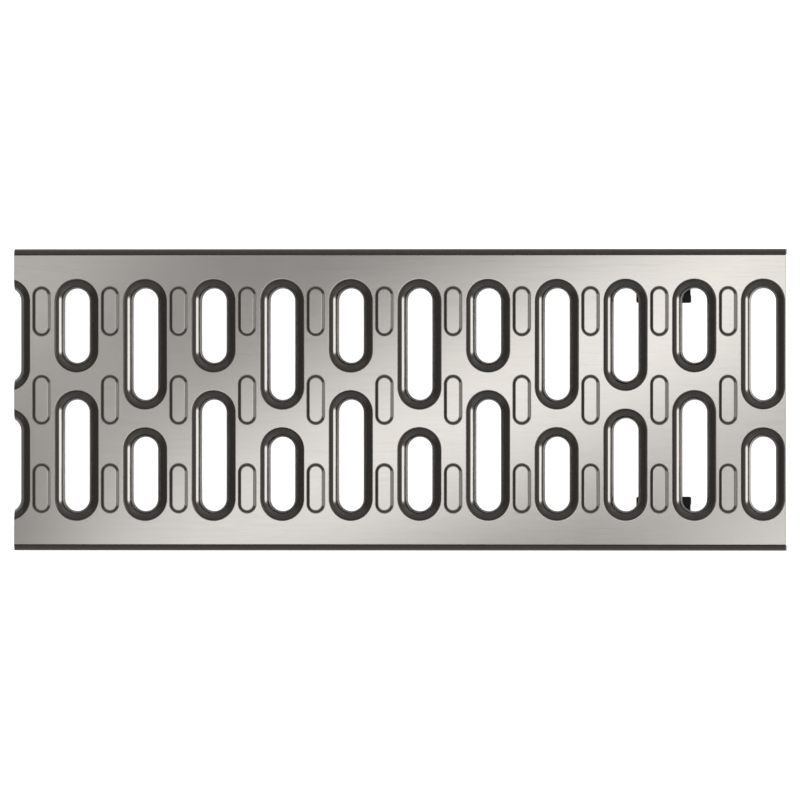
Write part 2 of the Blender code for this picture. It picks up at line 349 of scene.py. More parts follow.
def skirt_section(tree, size):
    """Fold along a long edge, the skirt and its rounded foot, back up to the underside."""
    bend, depth = size["Fold Radius"], size["Height"]
    sheet, edge = size["Thickness"], size["Edge"]
    inner = calc(tree, "SUBTRACT", bend, sheet)
    outer_foot = calc(tree, "SUBTRACT", bend, edge)
    inner_foot = calc(tree, "ADD", inner, edge)
    foot = calc(tree, "SUBTRACT", depth, edge)
    top = calc(tree, "ADD", bend, SUPPORT_BAND)
    low = calc(tree, "SUBTRACT", foot, SUPPORT_BAND)
    return join(
        tree,
        section_line(tree, (-SUPPORT_BAND, 0.0), (0.0, 0.0)),
        section_arc(tree, (0.0, bend), bend, -90, 90, BEND_POINTS),
        section_line(tree, (bend, bend), (bend, top)),
        section_line(tree, (bend, top), (bend, low)),
        section_line(tree, (bend, low), (bend, foot)),
        section_arc(tree, (outer_foot, foot), edge, 0, 90, ROUNDING_POINTS),
        section_line(tree, (outer_foot, depth), (inner_foot, depth)),
        section_arc(tree, (inner_foot, foot), edge, 90, 90, ROUNDING_POINTS),
        section_line(tree, (inner, foot), (inner, low)),
        section_line(tree, (inner, low), (inner, top)),
        section_line(tree, (inner, top), (inner, bend)),
        section_arc(tree, (0.0, bend), inner, 0, -90, FOLD_INSIDE_POINTS),
        section_line(tree, (0.0, sheet), (-SUPPORT_BAND, sheet)),
    )


def rib_section(tree, size):
    """The soft flank of a rib, from the level sheet up to its flat crown."""
    flank, rise = size["Rib Flank"], size["Rib Rise"]
    across = calc(tree, "MULTIPLY", flank, -1.0)
    up = calc(tree, "MULTIPLY", rise, -1.0)
    near = calc(tree, "MULTIPLY", flank, -RIB_FILLET)
    far = calc(tree, "MULTIPLY", flank, RIB_FILLET - 1.0)
    feeds = {
        "Resolution": FLANK_STEPS,
        "Start": (0.0, 0.0, 0.0),
        "Start Handle": vector(tree, near),
        "End Handle": vector(tree, far, up),
        "End": vector(tree, across, up),
    }
    flank_curve = add_node(tree, "GeometryNodeCurvePrimitiveBezierSegment", feeds, mode="POSITION")
    crown_edge = calc(tree, "SUBTRACT", across, SUPPORT_BAND)
    return join(
        tree,
        section_line(tree, (SUPPORT_BAND, 0.0), (0.0, 0.0)),
        flank_curve.outputs[0],
        section_line(tree, (across, up), (crown_edge, up)),
    )


# Paths


def round_ended_paths(tree, count, arc_steps, radius, place):
    """Copies of a round-ended outline along Y; place gives each its centre and half its straight."""
    ring = add_node(tree, "GeometryNodeCurvePrimitiveCircle", {"Resolution": 2 * arc_steps + 2})
    feeds = {"Geometry": ring.outputs[0], "Amount": count}
    copies = add_node(tree, "GeometryNodeDuplicateElements", feeds, domain="SPLINE")
    x, y, half = place(copies.outputs["Duplicate Index"])
    point = tree.nodes.new("GeometryNodeSplineParameter").outputs["Index"]
    lower = calc(tree, "GREATER_THAN", point, arc_steps + 0.5)
    angle = calc(tree, "MULTIPLY", calc(tree, "SUBTRACT", point, lower), math.pi / arc_steps)
    side = calc(tree, "MULTIPLY_ADD", lower, -2.0, 1.0)
    end = calc(tree, "MULTIPLY_ADD", side, half, y)
    across = calc(tree, "MULTIPLY_ADD", calc(tree, "COSINE", angle), radius, x)
    along = calc(tree, "MULTIPLY_ADD", calc(tree, "SINE", angle), radius, end)
    feeds = {"Geometry": copies.outputs["Geometry"], "Position": vector(tree, across, along)}
    return add_node(tree, "GeometryNodeSetPosition", feeds).outputs[0]


def slot_place(tree, size):
    """Where slot number n lies: two to a column, the bridge between them staggered by a rule."""
    def place(number):
        column = calc(tree, "FLOOR", calc(tree, "MULTIPLY", number, 0.5))
        side = calc(tree, "MULTIPLY_ADD", calc(tree, "MODULO", number, 2.0), 2.0, -1.0)
        in_repeat = calc(tree, "MODULO", column, float(COLUMNS_IN_REPEAT))
        staggered = calc(tree, "GREATER_THAN", in_repeat, 0.5)
        direction = calc(tree, "MULTIPLY_ADD", calc(tree, "MODULO", in_repeat, 2.0), 2.0, -1.0)
        stagger = calc(tree, "MULTIPLY", direction, size["Slot Stagger"])
        shift = calc(tree, "MULTIPLY", staggered, stagger)
        half_bridge = calc(tree, "MULTIPLY", size["Slot Bridge"], 0.5)
        inner = calc(tree, "MULTIPLY_ADD", side, half_bridge, shift)
        outer = calc(tree, "MULTIPLY", side, calc(tree, "MULTIPLY", size["Slot Field"], 0.5))
        middle = calc(tree, "MULTIPLY", calc(tree, "ADD", inner, outer), 0.5)
        length = calc(tree, "ABSOLUTE", calc(tree, "SUBTRACT", outer, inner))
        half = calc(tree, "MULTIPLY", calc(tree, "SUBTRACT", length, size["Slot Width"]), 0.5)
        x = calc(tree, "MULTIPLY_ADD", column, size["Column Pitch"], size["First Column"])
        return x, middle, half
    return place


def rib_place(tree, size):
    """Where rib number n lies: three to a web, about midway between two columns."""
    def place(number):
        web = calc(tree, "FLOOR", calc(tree, "DIVIDE", number, float(RIB_ROWS)))
        in_web = calc(tree, "MODULO", number, float(RIB_ROWS))
        row = calc(tree, "SUBTRACT", in_web, (RIB_ROWS - 1) / 2)
        web_middle = calc(tree, "ADD", web, 0.5)
        first = calc(tree, "ADD", size["First Column"], size["Rib Shift"])
        x = calc(tree, "MULTIPLY_ADD", web_middle, size["Column Pitch"], first)
        y = calc(tree, "MULTIPLY", row, size["Rib Row Pitch"])
        half = calc(tree, "MULTIPLY", calc(tree, "SUBTRACT", size["Rib Length"], size["Rib Width"]), 0.5)
        return x, y, half
    return place


def open_edges(tree, mesh, test, height):
    """The loops of open edges that lie above or below a height, as curves."""
    faces = tree.nodes.new("GeometryNodeInputMeshEdgeNeighbors").outputs[0]
    single = calc(tree, "COMPARE", faces, 1.0, COUNT_SLACK)
    position = tree.nodes.new("GeometryNodeInputPosition").outputs[0]
    z = add_node(tree, "ShaderNodeSeparateXYZ", {0: position}).outputs["Z"]
    chosen = calc(tree, "MULTIPLY", single, calc(tree, test, z, height))
    return add_node(tree, "GeometryNodeMeshToCurve", {"Mesh": mesh, "Selection": chosen}).outputs[0]


def filled(tree, *outlines):
    """Level metal inside the outlines, with a hole for each outline that lies in another."""
    return add_node(tree, "GeometryNodeFillCurve", {"Curve": join(tree, *outlines)}).outputs[0]


SHEET_SIZES = {
    "Left": FIRST_COLUMN - COLUMN_PITCH / 2,
    "Right": FIRST_COLUMN + (COLUMNS - 0.5) * COLUMN_PITCH,
    "Width": WIDTH,
    "Height": HEIGHT,
    "Thickness": THICKNESS,
    "Fold Radius": FOLD_RADIUS,
    "Edge": EDGE_ROUNDING,
    "First Column": FIRST_COLUMN,
    "Column Pitch": COLUMN_PITCH,
    "Slot Width": SLOT_WIDTH,
    "Slot Field": SLOT_FIELD,
    "Slot Bridge": SLOT_BRIDGE,
    "Slot Stagger": SLOT_STAGGER,
    "Collar Radius": COLLAR_RADIUS,
    "Collar Depth": COLLAR_DEPTH,
    "Rib Length": RIB_LENGTH,
    "Rib Width": RIB_WIDTH,
    "Rib Flank": RIB_FLANK,
    "Rib Rise": RIB_RISE,
    "Rib Row Pitch": RIB_ROW_PITCH,
    "Rib Shift": RIB_SHIFT,
}


def pressed_sheet_tree():
    """Level metal, collars, ribs and folded skirts of the blank, before its ends are sawn."""
    tree = bpy.data.node_groups.new("pressed sheet", "GeometryNodeTree")
    tree.interface.new_socket("Geometry", in_out="OUTPUT", socket_type="NodeSocketGeometry")
    for name in SHEET_SIZES:
        tree.interface.new_socket(name, in_out="INPUT", socket_type="NodeSocketFloat")
    tree.interface.new_socket("Columns", in_out="INPUT", socket_type="NodeSocketInt")
    tree.interface.new_socket("Steel", in_out="INPUT", socket_type="NodeSocketMaterial")
    size = tree.nodes.new("NodeGroupInput").outputs

    slots = calc(tree, "MULTIPLY", size["Columns"], 2.0)
    slot_radius = calc(tree, "MULTIPLY", size["Slot Width"], 0.5)
    slot_paths = round_ended_paths(tree, slots, SLOT_ARC_STEPS, slot_radius, slot_place(tree, size))
    collars = sweep(tree, slot_paths, collar_section(tree, size))

    ribs = calc(tree, "MULTIPLY", calc(tree, "SUBTRACT", size["Columns"], 1.0), float(RIB_ROWS))
    rib_radius = calc(tree, "MULTIPLY", size["Rib Width"], 0.5)
    rib_paths = round_ended_paths(tree, ribs, RIB_ARC_STEPS, rib_radius, rib_place(tree, size))
    flanks = sweep(tree, rib_paths, rib_section(tree, size))
    half_rise = calc(tree, "MULTIPLY", size["Rib Rise"], 0.5)
    crown_outlines = open_edges(tree, flanks, "GREATER_THAN", half_rise)
    crowns = moved(tree, filled(tree, crown_outlines), vector(tree, z=size["Rib Rise"]))

    level = calc(tree, "SUBTRACT", calc(tree, "MULTIPLY", size["Width"], 0.5), size["Fold Radius"])
    front = calc(tree, "MULTIPLY", level, -1.0)
    front_path = section_line(tree, (size["Left"], front), (size["Right"], front))
    rear_path = section_line(tree, (size["Right"], level), (size["Left"], level))
    skirts = sweep(tree, join(tree, front_path, rear_path), skirt_section(tree, size))

    length = calc(tree, "SUBTRACT", size["Right"], size["Left"])
    border_width = calc(tree, "MULTIPLY", calc(tree, "SUBTRACT", level, SUPPORT_BAND), 2.0)
    border = add_node(
        tree, "GeometryNodeCurvePrimitiveQuadrilateral", {"Width": length, "Height": border_width})
    middle = calc(tree, "MULTIPLY", calc(tree, "ADD", size["Right"], size["Left"]), 0.5)
    border_line = moved(tree, border.outputs[0], vector(tree, middle))
    half_sheet = calc(tree, "MULTIPLY", size["Thickness"], -0.5)
    slot_outlines = open_edges(tree, collars, "GREATER_THAN", half_sheet)
    rib_outlines = open_edges(tree, flanks, "LESS_THAN", half_rise)
    level_metal = filled(tree, border_line, slot_outlines, rib_outlines)

    face = join(tree, level_metal, flanks, crowns)
    down = vector(tree, z=calc(tree, "MULTIPLY", size["Thickness"], -1.0))
    underside = add_node(tree, "GeometryNodeFlipFaces", {"Mesh": moved(tree, face, down)}).outputs[0]
    sheet = join(tree, face, underside, collars, skirts)
    whole = welded(tree, moved(tree, sheet, vector(tree, z=size["Height"])))
    real = add_node(tree, "GeometryNodeRealizeInstances", {"Geometry": whole}).outputs[0]
    finished = add_node(tree, "GeometryNodeSetMaterial", {"Geometry": real, "Material": size["Steel"]})
    output = tree.nodes.new("NodeGroupOutput")
    tree.links.new(finished.outputs[0], output.inputs[0])
    return tree


def nodes_to_mesh(name, tree, values):
    """Runs a Geometry Nodes tree on an empty object and keeps the result as a plain mesh."""
    start = bpy.data.meshes.new(name)
    start.materials.append(values["Steel"])
    maker = bpy.data.objects.new(name, start)
    bpy.context.scene.collection.objects.link(maker)
    modifier = maker.modifiers.new(name, "NODES")
    modifier.node_group = tree
    for item in tree.interface.items_tree:
        if item.in_out == "INPUT":
            modifier[item.identifier] = values[item.name]
    return finished_mesh(maker)


def saw_end(bm, x, side):
    """Cuts the blank square at x and closes the sawn face."""
    everything = bm.verts[:] + bm.edges[:] + bm.faces[:]
    bmesh.ops.bisect_plane(
        bm, geom=everything, dist=SAME_POINT, plane_co=(x, 0, 0), plane_no=(side, 0, 0),
        clear_outer=True)
    rim = [edge for edge in bm.edges if edge.is_boundary and
           all(abs(vert.co.x - x) < ON_SAW_CUT for vert in edge.verts)]
    caps = bmesh.ops.holes_fill(bm, edges=rim, sides=0)["faces"]
    bmesh.ops.triangulate(bm, faces=caps)


def window_cutter():
    """One mesh of four round-cornered blocks, set through both skirts."""
    bm = bmesh.new()
    for x in (WINDOW_X - WINDOW_SPACING / 2, WINDOW_X + WINDOW_SPACING / 2):
        for y in (-WIDTH / 2, WIDTH / 2):
            block = bmesh.ops.create_cube(bm, size=1.0)["verts"]
            size = (WINDOW_WIDTH, 4 * THICKNESS, WINDOW_HEIGHT)
            bmesh.ops.scale(bm, verts=block, vec=size)
            bmesh.ops.translate(bm, verts=block, vec=(x, y, WINDOW_CENTRE))
    across = [edge for edge in bm.edges if abs(edge.verts[0].co.y - edge.verts[1].co.y) > THICKNESS]
    bmesh.ops.bevel(
        bm, geom=across, offset=WINDOW_CORNER, segments=WINDOW_CORNER_STEPS, profile=0.5,
        affect="EDGES")
    mesh = bpy.data.meshes.new("snap_windows")
    bm.to_mesh(mesh)
    bm.free()
    cutter = bpy.data.objects.new("snap_windows", mesh)
    bpy.context.scene.collection.objects.link(cutter)
    return cutter


def finished_mesh(maker):
    """Keeps what the modifiers of an object make as a plain mesh, and removes the object."""
    bpy.context.view_layer.update()
    evaluated = maker.evaluated_get(bpy.context.evaluated_depsgraph_get())
    mesh = bpy.data.meshes.new_from_object(evaluated)
    mesh.name = maker.name
    bpy.data.objects.remove(maker, do_unlink=True)
    return mesh


def dress(mesh, material):
    mesh.materials.clear()
    mesh.materials.append(material)
    mesh.polygons.foreach_set("material_index", [0] * len(mesh.polygons))


def pressed_sheet(steel):
    """The visible sheet: the blank of the node tree, sawn to length and pierced for the clips."""
    values = {**SHEET_SIZES, "Columns": COLUMNS, "Steel": steel}
    mesh = nodes_to_mesh("pressed_sheet", pressed_sheet_tree(), values)
    bm = bmesh.new()
    bm.from_mesh(mesh)
    saw_end(bm, LEFT_END, -1)
    saw_end(bm, RIGHT_END, 1)
    bmesh.ops.recalc_face_normals(bm, faces=bm.faces)
    bm.to_mesh(mesh)
    bm.free()
    blank = bpy.data.objects.new("blank", mesh)
    bpy.context.scene.collection.objects.link(blank)
    cut = blank.modifiers.new("snap windows", "BOOLEAN")
    cut.operation = "DIFFERENCE"
    cut.solver = "EXACT"
    cut.object = window_cutter()
    pierced = finished_mesh(blank)
    bpy.data.objects.remove(bpy.data.objects["snap_windows"], do_unlink=True)
    dress(pierced, steel)
    pierced.shade_smooth()
    pierced.set_sharp_from_angle(angle=SHARP_ANGLE)
    sheet = bpy.data.objects.new("pressed_sheet", pierced)
    bpy.context.scene.collection.objects.link(sheet)
    return sheet


def eased_clip(name, plastic):
    """A clip in its solid's own shape, its sharp edges eased as a mould leaves them."""
    bm = bmesh.new()
    bm.from_mesh(bpy.data.objects[name].data)
    bmesh.ops.remove_doubles(bm, verts=bm.verts, dist=SAME_POINT)
    bmesh.ops.dissolve_limit(bm, angle_limit=CLIP_FLAT_ANGLE, verts=bm.verts, edges=bm.edges)
    sharp = [edge for edge in bm.edges if edge.calc_face_angle(0.0) > CLIP_SHARP_ANGLE]
    bmesh.ops.bevel(
        bm, geom=sharp, offset=CLIP_EASING, segments=CLIP_EASING_STEPS, profile=0.5,
        affect="EDGES", clamp_overlap=True)
    bmesh.ops.triangulate(bm, faces=[face for face in bm.faces if len(face.verts) > 4])
    mesh = bpy.data.meshes.new(name + "_moulded")
    bm.to_mesh(mesh)
    bm.free()
    dress(mesh, plastic)
    clip = bpy.data.objects.new(name + "_moulded", mesh)
    bpy.context.scene.collection.objects.link(clip)
    return clip


# Finishes that more than one material shares


def shared_group(name, inputs, outputs):
    """A new shader group with named inputs, its start values and named outputs."""
    group = bpy.data.node_groups.new(name, "ShaderNodeTree")
    for title, kind, value in inputs:
        socket = group.interface.new_socket(title, in_out="INPUT", socket_type=kind)
        if value is not None:
            socket.default_value = value
    for title, kind in outputs:
        group.interface.new_socket(title, in_out="OUTPUT", socket_type=kind)
    inner = group.nodes.new("NodeGroupInput").outputs
    outer = group.nodes.new("NodeGroupOutput").inputs
    return group, inner, outer


def mottling_group():
    """Soft clouds that make a finish a little uneven, from 0 to 1."""
    group, inner, outer = shared_group(
        "mottling",
        [("Place", "NodeSocketVector", None), ("Scale", "NodeSocketFloat", 30.0),
         ("Contrast", "NodeSocketFloat", 1.0)],
        [("Clouds", "NodeSocketFloat")])
    feeds = {"Vector": inner["Place"], "Scale": inner["Scale"], "Detail": 4.0, "Roughness": 0.55}
    noise = add_node(group, "ShaderNodeTexNoise", feeds).outputs[0]
    centred = calc(group, "SUBTRACT", noise, 0.5)
    clouds = calc(group, "MULTIPLY_ADD", centred, inner["Contrast"], 0.5)
    held = add_node(group, "ShaderNodeClamp", {"Value": clouds}).outputs[0]
    group.links.new(held, outer["Clouds"])
    return group


def grain_group():
    """Fine grain, drawn out along one direction where its stretch says so."""
    group, inner, outer = shared_group(
        "fine grain",
        [("Place", "NodeSocketVector", None), ("Stretch", "NodeSocketVector", (1.0, 1.0, 1.0)),
         ("Fineness", "NodeSocketFloat", 4000.0), ("Height", "NodeSocketFloat", 0.001)],
        [("Grain", "NodeSocketFloat"), ("Relief", "NodeSocketFloat")])
    feeds = {0: inner["Place"], 1: inner["Stretch"]}
    drawn = add_node(group, "ShaderNodeVectorMath", feeds, operation="MULTIPLY").outputs[0]
    feeds = {"Vector": drawn, "Scale": inner["Fineness"], "Detail": 3.0, "Roughness": 0.6}
    grain = add_node(group, "ShaderNodeTexNoise", feeds).outputs[0]
    group.links.new(grain, outer["Grain"])
    group.links.new(calc(group, "MULTIPLY", grain, inner["Height"]), outer["Relief"])
    return group


def edge_wear_group():
    """Where an outer edge is rubbed: 1 on the edge, broken up by handling."""
    group, inner, outer = shared_group(
        "edge wear",
        [("Place", "NodeSocketVector", None), ("Reach", "NodeSocketFloat", 0.0003),
         ("Patchiness", "NodeSocketFloat", 400.0)],
        [("Wear", "NodeSocketFloat")])
    soft = add_node(group, "ShaderNodeBevel", {"Radius": inner["Reach"]}, samples=4).outputs[0]
    true_normal = group.nodes.new("ShaderNodeNewGeometry").outputs["Normal"]
    same = add_node(group, "ShaderNodeVectorMath", {0: soft, 1: true_normal}, operation="DOT_PRODUCT")
    turned = calc(group, "SUBTRACT", 1.0, same.outputs["Value"])
    edge = ramp(group, turned, *RUBBED_TURN)
    feeds = {"Vector": inner["Place"], "Scale": inner["Patchiness"], "Detail": 3.0}
    patches = ramp(group, add_node(group, "ShaderNodeTexNoise", feeds).outputs[0], *RUBBED_PATCHES)
    group.links.new(calc(group, "MULTIPLY", edge, patches), outer["Wear"])
    return group


def use_group(tree, group, feeds):
    made = tree.nodes.new("ShaderNodeGroup")
    made.node_tree = group
    for name, value in feeds.items():
        if isinstance(value, bpy.types.NodeSocket):
            tree.links.new(value, made.inputs[name])
        else:
            made.inputs[name].default_value = value
    return made.outputs


def mix_value(tree, share, first, second):
    feeds = {0: share, 2: first, 3: second}
    return add_node(tree, "ShaderNodeMix", feeds, data_type="FLOAT").outputs[0]


def new_material(name):
    material = bpy.data.materials.new(name)
    material.use_nodes = True
    tree = material.node_tree
    shader = tree.nodes["Principled BSDF"]
    place = tree.nodes.new("ShaderNodeTexCoord").outputs["Object"]
    return material, tree, shader, place


def steel_parts(tree, place):
    """Where each finish of the sheet lies, and each painted shade and highlight, as masks from 0 to 1.
    """
    at = add_node(tree, "ShaderNodeSeparateXYZ", {0: place}).outputs
    normal = tree.nodes.new("ShaderNodeNewGeometry").outputs["Normal"]
    facing = add_node(tree, "ShaderNodeSeparateXYZ", {0: normal}).outputs
    upright = calc(tree, "ABSOLUTE", facing["Z"])
    crosswise = calc(tree, "ABSOLUTE", facing["Y"])
    off_middle = calc(tree, "ABSOLUTE", at["Y"])

    raised = ramp(tree, at["Z"], *RAISED_HEIGHT)
    not_raised = calc(tree, "SUBTRACT", 1.0, raised)
    bent = mix_value(tree, raised, ramp(tree, upright, *SHEET_BEND), ramp(tree, upright, *CROWN_BEND))
    skirt = calc(tree, "MULTIPLY", ramp(tree, off_middle, *SKIRT_OFF_MIDDLE),
                 ramp(tree, at["Z"], *SKIRT_HEIGHT))
    sawn = ramp(tree, calc(tree, "ABSOLUTE", at["X"]), *SAWN_OFF_MIDDLE)
    plain = calc(tree, "MAXIMUM", skirt, sawn)

    steep = ramp(tree, facing["Z"], *STEEP_WALL)
    straight = mix_value(tree, steep, ramp(tree, crosswise, *STRAIGHT_BEND),
                         ramp(tree, crosswise, *STRAIGHT_WALL))
    lowered = ramp(tree, at["Z"], *LOWERED_HEIGHT)
    highlight_reach = calc(tree, "MULTIPLY", straight, calc(tree, "MULTIPLY_ADD", raised, RIB_PAINTED_HIGHLIGHT, lowered))
    return {
        # the bends: painted shade in their colour, and their own roughness
        "drawn": calc(tree, "MULTIPLY", bent, calc(tree, "SUBTRACT", 1.0, plain)),
        # painted sheen on the bends that face the right end
        "painted_sheen": calc(tree, "MULTIPLY", ramp(tree, facing["X"], *PAINTED_SHEEN_FACING), not_raised),
        # painted shade on the slots' walls
        "steep": calc(tree, "MULTIPLY", steep, ramp(tree, off_middle, *SLOTS_OFF_MIDDLE)),
        # painted shade on the folds' sides
        "fold side": ramp(tree, off_middle, *FOLD_SIDE_OFF_MIDDLE),
        # painted highlight on the slots' straight walls that face the right end
        "painted_highlight": calc(tree, "MULTIPLY", ramp(tree, facing["X"], *PAINTED_HIGHLIGHT_FACING), highlight_reach),
        # painted shade on the walls of the sawn column
        "cut column": calc(tree, "MULTIPLY", ramp(tree, facing["X"], *CUT_COLUMN_FACING),
                           ramp(tree, at["X"], *CUT_COLUMN_ALONG)),
        "deep": ramp(tree, at["Z"], *DEEP_HEIGHT),
        "back": ramp(tree, facing["Z"], *BACK_FACE),
        "sawn": sawn,
    }


def satin_steel(mottling, grain, wear):
    """Satin stainless sheet: bright level metal, a dull back and sawn ends.

    The drawn bends carry painted shade, darker than the steel, with a painted sheen where they face
    the right end. The slots' straight walls that face that way carry a painted highlight, and the
    slots' walls, the folds' sides and the sawn column carry painted shade.
    """
    material, tree, shader, place = new_material("satin_stainless_steel")
    shader.inputs["Metallic"].default_value = 1.0
    part = steel_parts(tree, place)

    clouds = use_group(tree, mottling, {"Place": place, "Scale": 22.0, "Contrast": 1.4})["Clouds"]
    specks = use_group(tree, mottling, {"Place": place, "Scale": 420.0, "Contrast": 1.6})["Clouds"]
    brushed = use_group(tree, grain, {
        "Place": place, "Stretch": (0.03, 1.0, 1.0), "Fineness": 3500.0, "Height": 0.0015 * MM})
    rolled = use_group(tree, grain, {
        "Place": place, "Stretch": (0.04, 1.0, 1.0), "Fineness": 600.0, "Height": 0.0})
    sawing = use_group(tree, grain, {
        "Place": place, "Stretch": (0.0, 1.0, 0.12), "Fineness": 2600.0, "Height": 0.02 * MM})
    rubbed = use_group(tree, wear, {"Place": place, "Reach": 0.35 * MM, "Patchiness": 250.0})["Wear"]

    streaks = calc(tree, "MULTIPLY", ramp(tree, rolled["Grain"], *STREAK_GRAIN), STREAK_SHARE)
    level = blend(tree, streaks, blend(tree, clouds, *LEVEL_STEEL), STREAK_STEEL)
    # Painted shade and highlights for the bends and walls, in place of the level steel's colour
    painted_shade_and_highlights = blend(tree, specks, *BEND_PAINTED_SHADE_STEEL)
    painted_shade_and_highlights = blend(tree, part["painted_sheen"], painted_shade_and_highlights, PAINTED_SHEEN_STEEL)
    painted_shade_and_highlights = blend(tree, part["steep"], painted_shade_and_highlights, WALL_PAINTED_SHADE_STEEL)
    painted_shade_and_highlights = blend(tree, part["fold side"], painted_shade_and_highlights, FOLD_SIDE_PAINTED_SHADE_STEEL)
    painted_shade_and_highlights = blend(tree, part["painted_highlight"], painted_shade_and_highlights, PAINTED_HIGHLIGHT_STEEL)
    painted_shade_and_highlights = blend(tree, part["cut column"], painted_shade_and_highlights, CUT_COLUMN_PAINTED_SHADE_STEEL)
    colour = blend(tree, part["drawn"], level, painted_shade_and_highlights)
    colour = blend(tree, part["back"], colour, BACK_STEEL)
    colour = blend(tree, part["sawn"], colour, blend(tree, sawing["Grain"], *SAWN_STEEL))
    colour = blend(tree, calc(tree, "MULTIPLY", rubbed, RUBBED_SHARE), colour, RUBBED_STEEL)
    tree.links.new(colour, shader.inputs["Base Color"])

    smoothest, roughest = LEVEL_ROUGHNESS - CLOUD_ROUGHNESS, LEVEL_ROUGHNESS + CLOUD_ROUGHNESS
    smooth = mix_value(tree, clouds, smoothest, roughest)
    off_grain = calc(tree, "SUBTRACT", brushed["Grain"], 0.5)
    smooth = calc(tree, "MULTIPLY_ADD", off_grain, BRUSHED_ROUGHNESS, smooth)
    drawn_rough = mix_value(tree, part["deep"], DRAWN_ROUGHNESS, DEEP_ROUGHNESS)
    rough = mix_value(tree, part["drawn"], smooth, drawn_rough)
    rough = mix_value(tree, part["back"], rough, BACK_ROUGHNESS)
    rough = mix_value(tree, part["sawn"], rough, SAWN_ROUGHNESS)
    tree.links.new(rough, shader.inputs["Roughness"])

    relief = mix_value(tree, part["sawn"], brushed["Relief"], sawing["Relief"])
    bump = add_node(tree, "ShaderNodeBump", {"Height": relief, "Strength": 0.5, "Distance": 1.0})
    tree.links.new(bump.outputs[0], shader.inputs["Normal"])
    return material


def black_plastic(mottling, grain, wear):
    """Black moulded plastic with a fine spark-eroded skin and edges that handling has greyed."""
    material, tree, shader, place = new_material("black_moulded_plastic")
    shader.inputs["Metallic"].default_value = 0.0
    shader.inputs["Specular IOR Level"].default_value = PLASTIC_SPECULAR
    clouds = use_group(tree, mottling, {"Place": place, "Scale": 160.0, "Contrast": 1.5})["Clouds"]
    skin = use_group(tree, grain, {
        "Place": place, "Stretch": (1.0, 1.0, 1.0), "Fineness": 3800.0, "Height": 0.02 * MM})
    rubbed = use_group(tree, wear, {"Place": place, "Reach": 0.30 * MM, "Patchiness": 600.0})["Wear"]
    colour = blend(tree, clouds, *PLASTIC_BLACK)
    greyed = calc(tree, "MULTIPLY", rubbed, PLASTIC_RUBBED_SHARE)
    colour = blend(tree, greyed, colour, PLASTIC_RUBBED)
    tree.links.new(colour, shader.inputs["Base Color"])
    rough = mix_value(tree, clouds, *PLASTIC_ROUGHNESS)
    off_grain = calc(tree, "SUBTRACT", skin["Grain"], 0.5)
    rough = calc(tree, "MULTIPLY_ADD", off_grain, SKIN_ROUGHNESS, rough)
    tree.links.new(rough, shader.inputs["Roughness"])
    bump = add_node(tree, "ShaderNodeBump", {"Height": skin["Relief"], "Strength": 0.6, "Distance": 1.0})
    tree.links.new(bump.outputs[0], shader.inputs["Normal"])
    return material


# Studio


def floor_material():
    """Pale floor: white to the camera, and white in the metal apart from the grate's own shade.

    It is clear from below, so that views of the underside aren't blocked.
    """
    material = bpy.data.materials.new("pale_floor")
    material.use_nodes = True
    tree = material.node_tree
    shader = tree.nodes["Principled BSDF"]
    shader.inputs["Base Color"].default_value = (FLOOR_GREY, FLOOR_GREY, FLOOR_GREY, 1.0)
    shader.inputs["Roughness"].default_value = FLOOR_ROUGHNESS
    shader.inputs["Specular IOR Level"].default_value = 0.0
    shader.inputs["Emission Color"].default_value = (*WHITE, 1.0)
    path = tree.nodes.new("ShaderNodeLightPath").outputs
    seen = calc(tree, "MAXIMUM", path["Is Camera Ray"], path["Is Transmission Ray"])
    direct = calc(tree, "MULTIPLY", seen, FLOOR_GLOW)
    in_metal = calc(tree, "MULTIPLY", path["Is Glossy Ray"], METAL_GLOW)
    glow = calc(tree, "MAXIMUM", direct, in_metal)
    tree.links.new(glow, shader.inputs["Emission Strength"])
    clear = tree.nodes.new("ShaderNodeBsdfTransparent").outputs[0]
    below = tree.nodes.new("ShaderNodeNewGeometry").outputs["Backfacing"]
    mix = add_node(tree, "ShaderNodeMixShader", {0: below, 1: shader.outputs[0], 2: clear})
    tree.links.new(mix.outputs[0], tree.nodes["Material Output"].inputs["Surface"])
    return material


def make_floor():
    bm = bmesh.new()
    bmesh.ops.create_circle(bm, cap_ends=True, segments=64, radius=FLOOR_RADIUS)
    bmesh.ops.translate(bm, verts=bm.verts, vec=(0.0, 0.0, -FLOOR_GAP))
    mesh = bpy.data.meshes.new("floor")
    bm.to_mesh(mesh)
    bm.free()
    mesh.materials.append(floor_material())
    floor = bpy.data.objects.new("floor", mesh)
    bpy.context.scene.collection.objects.link(floor)


def sines(degrees):
    return [math.sin(math.radians(angle)) for angle in degrees]


